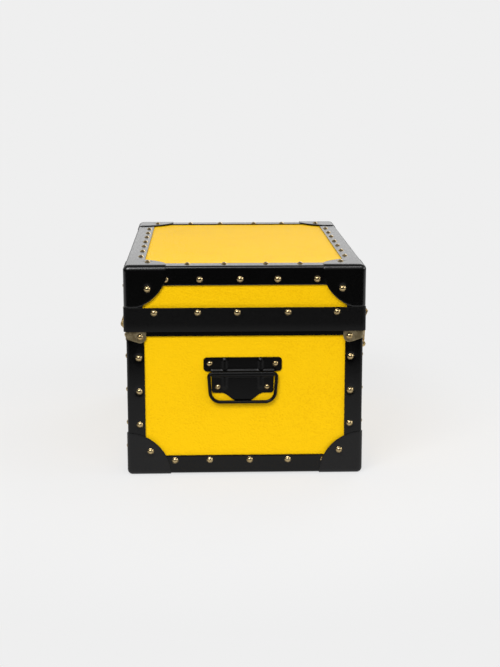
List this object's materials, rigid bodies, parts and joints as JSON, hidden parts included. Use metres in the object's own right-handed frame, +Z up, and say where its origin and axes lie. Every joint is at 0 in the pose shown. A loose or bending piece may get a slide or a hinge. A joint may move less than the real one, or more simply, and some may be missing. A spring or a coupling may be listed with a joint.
{
  "type": "storage trunk",
  "caption": "Cloth-covered storage trunk with bound edges, capped corners, a hinged lid with stay, snap catches, a lock and drop handles at the ends.",
  "frame": {"origin": "on the floor, under the middle of the body", "axes": "+Z up, X along the length, -Y the front with the catches, +Y the back with the hinges"},
  "size_m": [0.5334, 0.3752, 0.315],
  "materials": {
    "plywood": "bare plywood",
    "yellow_leathercloth": "fine-grained coated cloth, satin",
    "lining_paper": "matt lining paper",
    "black_fibre": "polished vulcanised fibre",
    "black_steel": "satin black enamel",
    "brass_rivet": "polished, slightly tarnished",
    "black_handle_steel": "black enamel",
    "antique_brass": "antique, mottled",
    "brass_hardware": "antique, brushed",
    "stay_steel": "brass plated"
  },
  "bodies": {
    "body": {"base_bindings": "black_fibre", "body_back_board": "plywood", "body_base_board": "plywood", "body_base_cover": "yellow_leathercloth", "body_front_board": "plywood", "body_left_board": "plywood", "body_lining": "lining_paper", "body_right_board": "plywood", "body_rim_binding": "black_fibre", "body_rivets": "brass_rivet", "body_side_cover": "yellow_leathercloth", "catch_pins": "brass_hardware", "catch_plates": "brass_hardware", "corner_binding_back_left": "black_fibre", "corner_binding_back_right": "black_fibre", "corner_binding_front_left": "black_fibre", "corner_binding_front_right": "black_fibre", "foot_cap_back_left": "black_steel", "foot_cap_back_right": "black_steel", "foot_cap_front_left": "black_steel", "foot_cap_front_right": "black_steel", "handle_plate_left": "black_handle_steel", "handle_plate_right": "black_handle_steel", "handle_rivets": "brass_rivet", "hinge_body_leaves": "brass_hardware", "hinge_pins": "brass_hardware", "lock_case": "brass_hardware", "rim_brackets": "antique_brass", "stay_keeper": "stay_steel"},
    "lid": {"catch_strikes": "brass_hardware", "hinge_lid_leaves": "brass_hardware", "lid_back_board": "plywood", "lid_cap_back_left": "black_steel", "lid_cap_back_right": "black_steel", "lid_cap_front_left": "black_steel", "lid_cap_front_right": "black_steel", "lid_corner_bindings": "black_fibre", "lid_front_board": "plywood", "lid_left_board": "plywood", "lid_lining": "lining_paper", "lid_right_board": "plywood", "lid_rim_binding": "black_fibre", "lid_rivets": "brass_rivet", "lid_side_cover": "yellow_leathercloth", "lid_top_bindings": "black_fibre", "lid_top_board": "plywood", "lid_top_cover": "yellow_leathercloth", "lock_hasp": "brass_hardware", "stay_quadrant": "stay_steel", "valance_back": "black_steel", "valance_front": "black_steel", "valance_left": "black_steel", "valance_right": "black_steel"},
    "handle_left": {"handle_grip_left": "black_handle_steel"},
    "handle_right": {"handle_grip_right": "black_handle_steel"},
    "claw_left": {"catch_claw_left": "brass_hardware"},
    "claw_right": {"catch_claw_right": "brass_hardware"},
    "bolt": {"lock_bolt": "brass_hardware"}
  },
  "joints": [
    {"name": "lid_hinge", "type": "hinge", "parent": "body", "child": "lid", "pos_m": [0, 0.1795, 0.211], "axis": [-1, 0, 0], "range_deg": [0, 82]},
    {"name": "handle_left_swing", "type": "hinge", "parent": "body", "child": "handle_left", "pos_m": [-0.26225, 0.0034, 0.152], "axis": [0, 1, 0], "range_deg": [0, 160]},
    {"name": "handle_right_swing", "type": "hinge", "parent": "body", "child": "handle_right", "pos_m": [0.26225, 0.0034, 0.152], "axis": [0, -1, 0], "range_deg": [0, 160]},
    {"name": "claw_left_swing", "type": "hinge", "parent": "body", "child": "claw_left", "pos_m": [-0.145, -0.1825, 0.1742], "axis": [1, 0, 0], "range_deg": [-2.5, 165]},
    {"name": "claw_right_swing", "type": "hinge", "parent": "body", "child": "claw_right", "pos_m": [0.145, -0.1825, 0.1742], "axis": [1, 0, 0], "range_deg": [-2.5, 165]},
    {"name": "bolt_slide", "type": "slide", "parent": "body", "child": "bolt", "axis": [-1, 0, 0], "range_m": [0, 0.006]}
  ]
}
